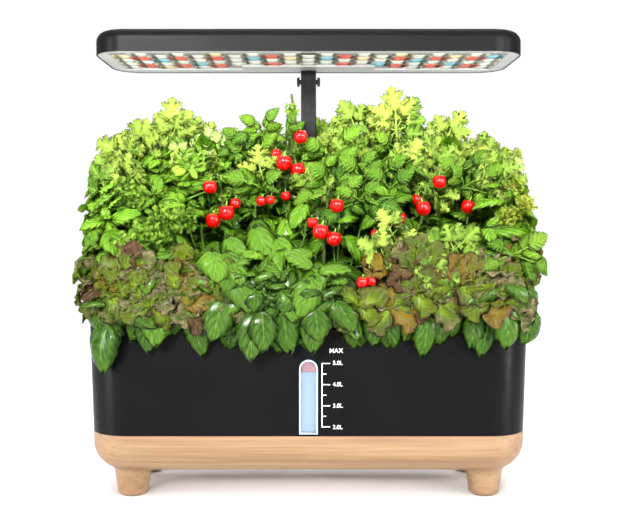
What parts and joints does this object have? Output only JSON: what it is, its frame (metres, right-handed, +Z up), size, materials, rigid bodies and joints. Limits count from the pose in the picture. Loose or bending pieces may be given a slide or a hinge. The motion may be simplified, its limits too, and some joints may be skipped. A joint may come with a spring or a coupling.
{
  "type": "countertop hydroponic garden",
  "caption": "Countertop hydroponic garden: black water tank on a wooden base with turned feet, pods of leafy plants and a flat grow lamp on a sliding mast.",
  "frame": {"origin": "on the surface it stands on, at the middle of the whole part's outline", "axes": "+X to the right, +Y to the back, +Z up; the level window faces -Y"},
  "size_m": [0.436, 0.212, 0.4458],
  "materials": {
    "beech": "light beech, satin, rounded edges",
    "pad_rubber": "matt",
    "tank_black": "fine moulded texture, satin",
    "deck_black": "satin moulded",
    "clear_pane": "clear, polished",
    "frame_white": "gloss",
    "print_white": "printed",
    "water": "clear blue-tinted water",
    "float_pink": "soft gloss",
    "pump_grey": "moulded",
    "tube_clear": "clear tube",
    "cup_rubber": "soft",
    "inlet_black": "gloss",
    "nut_steel": "plated",
    "board_green": "solder-masked board with parts",
    "basket_black": "moulded net cup",
    "sponge_brown": "open grow sponge",
    "mast_black": "black satin extrusion",
    "pole_black": "dark anodised",
    "lamp_black": "satin case",
    "bezel_white": "gloss white",
    "reflector_silver": "silvered honeycomb",
    "board_metal": "metal-core board",
    "lens_white_light": "lit white lens",
    "lens_warm_light": "lit warm lens",
    "lens_red_light": "lit red lens",
    "lens_blue_light": "lit blue lens",
    "panel_gloss": "gloss black",
    "key_white": "gloss",
    "basil_leaf": "glossy quilted basil leaves",
    "lettuce_leaf": "oak-leaf lettuce, olive to bronze",
    "parsley_leaf": "serrated celery and parsley leaves",
    "mint_leaf": "toothed mint leaves",
    "tomato_leaf": "tomato foliage with red fruit",
    "dill_leaf": "fine feathery dill",
    "screw_steel": "plated"
  },
  "bodies": {
    "base": {"base_tray": "beech", "foot_pads": "pad_rubber", "driver_board": "board_green", "dc_jack": "inlet_black", "jack_nut": "nut_steel", "tank": "tank_black", "window_frame": "frame_white", "level_window": "clear_pane", "level_chamber": "tube_clear", "sight_water": "water", "level_scale": "print_white", "pump_body": "pump_grey", "pump_cover": "pump_grey", "riser_tube": "tube_clear", "suction_cups": "cup_rubber"},
    "deck": {"deck": "deck_black", "lid_pin": "nut_steel", "baskets": "basket_black", "sponges": "sponge_brown", "mast_socket": "deck_black", "mast_tube": "mast_black", "mast_head": "lamp_black", "front_plant_1": "lettuce_leaf", "front_plant_2": "lettuce_leaf", "front_plant_3": "basil_leaf", "front_plant_4": "basil_leaf", "front_plant_5": "lettuce_leaf", "front_plant_6": "lettuce_leaf", "rear_plant_1": "dill_leaf", "rear_plant_2": "basil_leaf", "rear_plant_3": "tomato_leaf", "rear_plant_4": "mint_leaf", "rear_plant_5": "parsley_leaf", "rear_plant_6": "parsley_leaf"},
    "lamp": {"lamp_pole": "pole_black", "lamp_neck": "lamp_black", "neck_bracket": "board_metal", "lamp_housing": "lamp_black", "lamp_bezel": "bezel_white", "bezel_screws": "screw_steel", "reflector": "reflector_silver", "led_board": "board_metal", "control_panel": "panel_gloss", "control_board": "board_green", "lens_white": "lens_white_light", "lens_warm": "lens_warm_light", "lens_red": "lens_red_light", "lens_blue": "lens_blue_light"},
    "level_float": {"level_float": "float_pink"},
    "pump_rotor": {"pump_rotor": "frame_white"},
    "refill_lid": {"refill_lid": "deck_black"},
    "release_button_left": {"release_button_left": "lamp_black"},
    "release_button_right": {"release_button_right": "lamp_black"},
    "light_key": {"light_key": "key_white"},
    "mode_key": {"mode_key": "key_white"},
    "pump_key": {"pump_key": "key_white"}
  },
  "joints": [
    {"name": "deck_lift", "type": "slide", "parent": "base", "child": "deck", "axis": [0, 0, 1], "range_m": [0, 0.12]},
    {"name": "lamp_height", "type": "slide", "parent": "deck", "child": "lamp", "axis": [0, 0, 1], "range_m": [0, 0.16]},
    {"name": "button_left_press", "type": "slide", "parent": "deck", "child": "release_button_left", "axis": [1, 0, 0], "range_m": [0, 0.0012], "stiffness_N_per_m": 900},
    {"name": "button_right_press", "type": "slide", "parent": "deck", "child": "release_button_right", "axis": [-1, 0, 0], "range_m": [0, 0.0012], "stiffness_N_per_m": 900},
    {"name": "refill_lid_hinge", "type": "hinge", "parent": "deck", "child": "refill_lid", "pos_m": [-0.064, 0.0684, 0.1704], "axis": [-1, 0, 0], "range_deg": [0, 100]},
    {"name": "float_drop", "type": "slide", "parent": "base", "child": "level_float", "axis": [0, 0, -1], "range_m": [0, 0.055], "deforming": ["sight_water"]},
    {"name": "rotor_spin", "type": "hinge", "parent": "base", "child": "pump_rotor", "pos_m": [0.178, 0, 0.086], "axis": [1, 0, 0], "continuous": true},
    {"name": "light_key_press", "type": "slide", "parent": "lamp", "child": "light_key", "axis": [0, 0, -1], "range_m": [0, 0.0008], "stiffness_N_per_m": 600},
    {"name": "mode_key_press", "type": "slide", "parent": "lamp", "child": "mode_key", "axis": [0, 0, -1], "range_m": [0, 0.0008], "stiffness_N_per_m": 600},
    {"name": "pump_key_press", "type": "slide", "parent": "lamp", "child": "pump_key", "axis": [0, 0, -1], "range_m": [0, 0.0008], "stiffness_N_per_m": 600}
  ]
}
